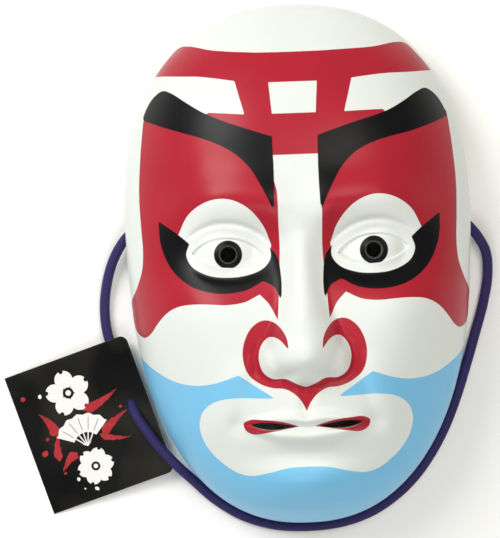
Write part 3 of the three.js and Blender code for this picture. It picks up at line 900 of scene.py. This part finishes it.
bpy.context.view_layer.objects.active = tag
bpy.ops.object.modifier_apply(modifier="hole")
bpy.data.objects.remove(tool)
edit(tag, "EDGE")
bpy.ops.mesh.edges_select_sharp(sharpness=math.radians(60))
bpy.ops.mesh.bevel(offset=TAG_BEVEL * MM, segments=2, affect="EDGES")
bpy.ops.object.mode_set(mode="OBJECT")

LACQUER_HEIGHT = 0.000008
EDGE_FIBRE_HEIGHT = 0.00005
BACK_FIBRE_HEIGHT = 0.00002

printed_card, tree, shader = new_finish("printed_card", Specular_IOR_Level=0.25)
card_x, card_y = map_axes(tree, "printed_face")
card_x, card_y = card_x * TAG_WIDTH - TAG_WIDTH / 2, card_y * TAG_HEIGHT - TAG_HEIGHT / 2


def below(value, limit, softness=0.12):
    """1 where a value in millimetres is under a limit, and 0 over it."""
    return ((limit - value) / softness + 0.5).clamped()


def distance(x, y, centre_x, centre_y):
    across, up = x - centre_x, y - centre_y
    return (across * across + up * up).sum("SQRT")


def turned(x, y, degrees):
    """How far a point lies along a direction, and how far to the left of it."""
    turn = math.radians(degrees)
    return x * math.cos(turn) + y * math.sin(turn), y * math.cos(turn) - x * math.sin(turn)


def fan_print(pivot_x, pivot_y, middle_degrees, spread_degrees, reach, folds):
    """An open folding fan: a pleated leaf over bare ribs that meet at the pivot."""
    ahead, aside = turned(card_x - pivot_x, card_y - pivot_y, middle_degrees)
    angle = aside.sum("ARCTAN2", ahead) / math.radians(spread_degrees / 2)
    radius = distance(card_x, card_y, pivot_x, pivot_y)
    fold = (angle * folds / 2).sum("PINGPONG", 1)
    rim = radius + fold * 0.9
    open_part = below(angle.sum("ABSOLUTE"), 1, 0.01)
    leaf = below(rim, reach) * below(reach * 0.42, radius) * open_part
    creases = below(fold * radius * 0.3, 0.22) * below(radius, reach - 2)
    ribs = below(fold * radius * 0.3, 0.5) * below(radius, reach * 0.5) * open_part
    return leaf * (1 - creases) + ribs


def flower_print(centre_x, centre_y, size, petals, turn_degrees):
    """Round petals about a bare middle with a dot, and a notch in each petal."""
    flower = None
    for k in range(petals):
        turn = math.radians(turn_degrees + 360 * k / petals)
        across, up = math.cos(turn), math.sin(turn)
        petal = below(distance(card_x, card_y, centre_x + size * across, centre_y + size * up), size * 0.66)
        notch_x, notch_y = centre_x + size * 1.62 * across, centre_y + size * 1.62 * up
        notch = below(distance(card_x, card_y, notch_x, notch_y), size * 0.16)
        petal = petal * (1 - notch)
        flower = petal if flower is None else flower.sum("MAXIMUM", petal)
    radius = distance(card_x, card_y, centre_x, centre_y)
    return (flower * below(size * 0.4, radius)).sum("MAXIMUM", below(radius, size * 0.2))


def stroke_print(centre_x, centre_y, reach, width, turn_degrees, bend):
    """A brush stroke along a bent line, pressed down bluntly at its start and lifted off in dry streaks."""
    along, aside = turned(ragged_x - centre_x, ragged_y - centre_y, turn_degrees)
    aside = aside - along * along * bend
    run = along / (2 * reach) + 0.5
    half_width = (run * 6).clamped() * (1.1 - run) * width * 0.8 - 0.2
    dry = below((aside * 6).sum("SINE"), 2.1 - run * 1.6, 0.5)
    return below(aside.sum("ABSOLUTE"), half_width, 0.3) * below(run, 0.97, 0.05) * dry


ragged_x = card_x + noise(tree, 0.0025, 3) * 1.4 - 0.7
ragged_y = card_y + noise(tree, 0.0021, 3) * 1.4 - 0.7
white_print = flower_print(-4.4, 17.6, 6.6, 5, 90).sum("MAXIMUM", fan_print(-4.2, -9.4, 90, 112, 16, 11))
white_print = white_print.sum("MAXIMUM", flower_print(-4, -19.6, 5.4, 6, 0))
strokes = ((9, 8.5, 10, 3.6, 14, 0.012), (12, -2, 9, 3.4, 24, -0.01), (9.5, -10, 8, 2.6, -22, 0.02),
           (-18, 7, 7, 3.8, 110, 0.03), (-18, -4, 8, 3, 70, -0.02), (-15.5, -13, 6, 3.4, 215, 0.03))
red_print = stroke_print(*strokes[0])
for stroke in strokes[1:]:
    red_print = red_print.sum("MAXIMUM", stroke_print(*stroke))
red_spots = ((-26, 22, 1.1), (-25, -6, 1.5), (-21.5, 0, 0.7), (17, 3.2, 0.7), (-19, -18, 0.6))
for spot_x, spot_y, size in red_spots:
    red_print = red_print.sum("MAXIMUM", below(distance(ragged_x, ragged_y, spot_x, spot_y), size))
white_spots = ((-18, 20.4, 0.9), (-14, -22.8, 0.8), (-7, -30, 1.0), (-12.5, -28, 0.4))
for spot_x, spot_y, size in white_spots:
    white_print = white_print.sum("MAXIMUM", below(distance(ragged_x, ragged_y, spot_x, spot_y), size))
# The black ink lightens to olive grey in broad soft patches, a painted sheen.
painted_sheen = ((noise(tree, 0.028, 1) - 0.42) * 4).clamped()
ink = mixed(painted_sheen, linear(2, 2, 2), linear(38, 37, 30))
red_ink = mixed(noise(tree, 0.004, 3), linear(150, 28, 40), linear(192, 60, 62))
with_red = mixed(red_print.clamped(), ink, red_ink)
with_white = mixed(white_print.clamped(), with_red, linear(236, 235, 230))
lacquer = noise(tree, 0.0008, 2) * LACQUER_HEIGHT
feed(shader, Base_Color=with_white, Roughness=noise(tree, 0.035, 2) * 0.5 + 0.1,
     Normal=bumped(tree, lacquer))

board, tree, shader = new_finish("board_edge")
fibre = noise(tree, 0.0003, 4)
feed(shader, Base_Color=mixed(fibre, linear(96, 92, 88), linear(150, 146, 138)),
     Roughness=0.75 + fibre * 0.1, Normal=bumped(tree, fibre * EDGE_FIBRE_HEIGHT))

black_back, tree, shader = new_finish("card_back", Specular_IOR_Level=0.5)
fibre = noise(tree, 0.0005, 4)
feed(shader, Base_Color=mixed(fibre, linear(18, 17, 17), linear(30, 28, 27)),
     Roughness=0.42 + fibre * 0.14, Normal=bumped(tree, fibre * BACK_FIBRE_HEIGHT))

for finish in (printed_card, board, black_back):
    tag.data.materials.append(finish)
for face in tag.data.polygons:
    face.material_index = 0 if face.normal.z > 0.9 else 2 if face.normal.z < -0.9 else 1
card = points_of(tag)
lean = -math.asin(TAG_RAISED_EDGE / TAG_WIDTH)
along = card[:, 0] * math.cos(lean) + card[:, 2] * math.sin(lean)
height = card[:, 2] * math.cos(lean) - card[:, 0] * math.sin(lean)
turned_x = along * math.cos(TAG_TURN) - card[:, 1] * math.sin(TAG_TURN)
turned_y = along * math.sin(TAG_TURN) + card[:, 1] * math.cos(TAG_TURN)
place = np.array([*TAG_CENTRE, TAG_RAISED_EDGE / 2 + TAG_LIFT]) * MM
press(tag, np.stack([turned_x, turned_y, height], axis=1) + place)
choose(tag)
bpy.ops.object.shade_smooth_by_angle(angle=math.radians(30))
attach(tag, "root")
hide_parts("swing_tag")

# A plain pale table top, a broad soft light from the upper left, weaker ones from the right and from below
# the chin, and the camera, which looks straight down from a little over a metre with a slight roll.
FLOOR_SIZE = 4.0
PICTURE_CENTRE = (-23.3, -1.8)
PICTURE_HEIGHT = 255.0
VIEW_LEVEL = 10.0
CAMERA_DISTANCE = 1090.0
CAMERA_ROLL = math.radians(-2)
SENSOR_HEIGHT = 24.0
ROOM_LIGHT = 0.28

bpy.ops.object.select_all(action="DESELECT")
bpy.ops.mesh.primitive_plane_add(size=FLOOR_SIZE)
floor = bpy.context.object
floor.name = "table_top"
table_finish, tree, shader = new_finish("pale_table", Roughness=0.7, Specular_IOR_Level=0.2)
feed(shader, Base_Color=mixed(noise(tree, 0.2, 2), linear(250, 250, 247), linear(253, 253, 251)))
floor.data.materials.append(table_finish)


def soft_light(name, place, size, power, colour=(1, 1, 1)):
    bpy.ops.object.light_add(type="AREA", location=place)
    light = bpy.context.object
    light.name = name
    light.data.shape, light.data.size = "DISK", size
    light.data.energy, light.data.color = power, colour
    light.rotation_euler = Vector(place).to_track_quat("Z", "Y").to_euler()


soft_light("key_light", (-0.8, 0.7, 1.0), size=0.8, power=13.6)
soft_light("fill_light", (0.42, 0.3, 1.4), size=0.9, power=8.2, colour=(1, 0.93, 0.84))
soft_light("front_light", (-0.1, -1.0, 1.1), size=0.8, power=4.9)
world = bpy.data.worlds.new("studio")
bpy.context.scene.world = world
world.use_nodes = True
world.node_tree.nodes["Background"].inputs["Color"].default_value = (1, 1, 1, 1)
world.node_tree.nodes["Background"].inputs["Strength"].default_value = ROOM_LIGHT
bpy.context.scene.view_settings.view_transform = "Standard"

camera = bpy.data.objects.new("camera", bpy.data.cameras.new("camera"))
bpy.context.collection.objects.link(camera)
camera.location = (PICTURE_CENTRE[0] * MM, PICTURE_CENTRE[1] * MM, (CAMERA_DISTANCE + VIEW_LEVEL) * MM)
camera.rotation_euler = (0, 0, CAMERA_ROLL)
camera.data.sensor_fit = "VERTICAL"
camera.data.sensor_height = SENSOR_HEIGHT
camera.data.lens = SENSOR_HEIGHT * CAMERA_DISTANCE / PICTURE_HEIGHT
bpy.context.scene.camera = camera
